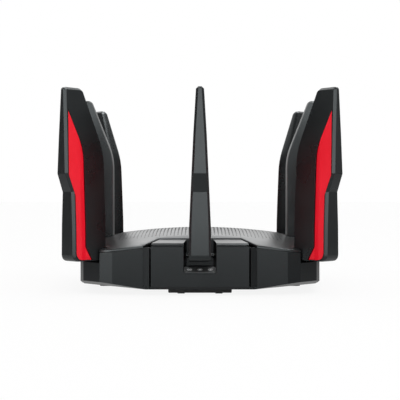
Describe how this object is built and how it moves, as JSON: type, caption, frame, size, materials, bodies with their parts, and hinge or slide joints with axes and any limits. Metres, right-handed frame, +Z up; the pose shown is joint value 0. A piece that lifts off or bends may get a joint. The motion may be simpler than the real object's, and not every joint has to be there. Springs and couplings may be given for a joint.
{
  "type": "wireless router",
  "caption": "Square tabletop wireless router with a domed vented cover, upright blade antennas with red side inlays round its edge, and network and USB sockets.",
  "frame": {"origin": "on the surface that the feet stand on, under the middle of the body", "axes": "+Z up; -Y towards the front, the side with the button shelf; +X to the right seen from the front"},
  "size_m": [0.2574, 0.2574, 0.1827],
  "materials": {
    "shell_plastic": "satin moulded",
    "black_plastic": "matt moulded",
    "red_inlay": "satin painted",
    "rubber_feet": "matt",
    "circuit_board": "solder mask",
    "heat_sink_metal": "extruded",
    "tin_plate": "tin plated"
  },
  "bodies": {
    "housing": {"bottom_shell": "shell_plastic", "top_cover": "shell_plastic", "side_block_front": "shell_plastic", "side_block_right": "shell_plastic", "side_block_rear": "shell_plastic", "side_block_left": "shell_plastic", "button_shelf": "black_plastic", "foot_front": "rubber_feet", "foot_right": "rubber_feet", "foot_rear": "rubber_feet", "foot_left": "rubber_feet", "main_board": "circuit_board", "shield_can": "tin_plate", "heat_sink": "heat_sink_metal", "net_socket_1": "black_plastic", "net_socket_2": "black_plastic", "net_socket_3": "black_plastic", "net_socket_4": "black_plastic", "net_socket_5": "black_plastic", "usb_socket_1": "tin_plate", "usb_socket_2": "tin_plate", "dc_socket": "black_plastic"},
    "antenna_front": {"antenna_front_shell": "shell_plastic", "antenna_front_inlay_left": "red_inlay", "antenna_front_inlay_right": "red_inlay", "antenna_front_radiator": "circuit_board"},
    "antenna_right": {"antenna_right_shell": "shell_plastic", "antenna_right_inlay_left": "red_inlay", "antenna_right_inlay_right": "red_inlay", "antenna_right_radiator": "circuit_board"},
    "antenna_rear": {"antenna_rear_shell": "shell_plastic", "antenna_rear_inlay_left": "red_inlay", "antenna_rear_inlay_right": "red_inlay", "antenna_rear_radiator": "circuit_board"},
    "antenna_left": {"antenna_left_shell": "shell_plastic", "antenna_left_inlay_left": "red_inlay", "antenna_left_inlay_right": "red_inlay", "antenna_left_radiator": "circuit_board"},
    "antenna_front_right": {"antenna_front_right_shell": "shell_plastic", "antenna_front_right_inlay_left": "red_inlay", "antenna_front_right_inlay_right": "red_inlay", "antenna_front_right_radiator": "circuit_board"},
    "antenna_rear_right": {"antenna_rear_right_shell": "shell_plastic", "antenna_rear_right_inlay_left": "red_inlay", "antenna_rear_right_inlay_right": "red_inlay", "antenna_rear_right_radiator": "circuit_board"},
    "antenna_rear_left": {"antenna_rear_left_shell": "shell_plastic", "antenna_rear_left_inlay_left": "red_inlay", "antenna_rear_left_inlay_right": "red_inlay", "antenna_rear_left_radiator": "circuit_board"},
    "antenna_front_left": {"antenna_front_left_shell": "shell_plastic", "antenna_front_left_inlay_left": "red_inlay", "antenna_front_left_inlay_right": "red_inlay", "antenna_front_left_radiator": "circuit_board"},
    "button_left": {"button_left": "shell_plastic"},
    "button_middle": {"button_middle": "shell_plastic"},
    "button_right": {"button_right": "shell_plastic"},
    "power_button": {"power_button": "shell_plastic"},
    "reset_button": {"reset_button": "black_plastic"}
  },
  "joints": [
    {"name": "antenna_front_tilt", "type": "hinge", "parent": "housing", "child": "antenna_front", "pos_m": [0, -0.09, 0.034], "axis": [1, 0, 0], "range_deg": [0, 15]},
    {"name": "antenna_right_tilt", "type": "hinge", "parent": "housing", "child": "antenna_right", "pos_m": [0.09, 0, 0.034], "axis": [0, 1, 0], "range_deg": [0, 15]},
    {"name": "antenna_rear_tilt", "type": "hinge", "parent": "housing", "child": "antenna_rear", "pos_m": [0, 0.09, 0.034], "axis": [-1, 0, 0], "range_deg": [0, 15]},
    {"name": "antenna_left_tilt", "type": "hinge", "parent": "housing", "child": "antenna_left", "pos_m": [-0.09, 0, 0.034], "axis": [0, -1, 0], "range_deg": [0, 15]},
    {"name": "antenna_front_right_tilt", "type": "hinge", "parent": "housing", "child": "antenna_front_right", "pos_m": [0.09355, -0.09355, 0.034], "axis": [0.7071, 0.7071, 0], "range_deg": [0, 15]},
    {"name": "antenna_rear_right_tilt", "type": "hinge", "parent": "housing", "child": "antenna_rear_right", "pos_m": [0.09355, 0.09355, 0.034], "axis": [-0.7071, 0.7071, 0], "range_deg": [0, 15]},
    {"name": "antenna_rear_left_tilt", "type": "hinge", "parent": "housing", "child": "antenna_rear_left", "pos_m": [-0.09355, 0.09355, 0.034], "axis": [-0.7071, -0.7071, 0], "range_deg": [0, 15]},
    {"name": "antenna_front_left_tilt", "type": "hinge", "parent": "housing", "child": "antenna_front_left", "pos_m": [-0.09355, -0.09355, 0.034], "axis": [0.7071, -0.7071, 0], "range_deg": [0, 15]},
    {"name": "button_left_press", "type": "slide", "parent": "housing", "child": "button_left", "axis": [0, 0.4936, -0.8697], "range_m": [0, 0.0006], "stiffness_N_per_m": 300},
    {"name": "button_middle_press", "type": "slide", "parent": "housing", "child": "button_middle", "axis": [0, 0.4936, -0.8697], "range_m": [0, 0.0006], "stiffness_N_per_m": 300},
    {"name": "button_right_press", "type": "slide", "parent": "housing", "child": "button_right", "axis": [0, 0.4936, -0.8697], "range_m": [0, 0.0006], "stiffness_N_per_m": 300},
    {"name": "power_button_press", "type": "slide", "parent": "housing", "child": "power_button", "axis": [0, -1, 0], "range_m": [0, 0.0015], "stiffness_N_per_m": 400},
    {"name": "reset_button_press", "type": "slide", "parent": "housing", "child": "reset_button", "axis": [0, -1, 0], "range_m": [0, 0.0005], "stiffness_N_per_m": 300}
  ]
}
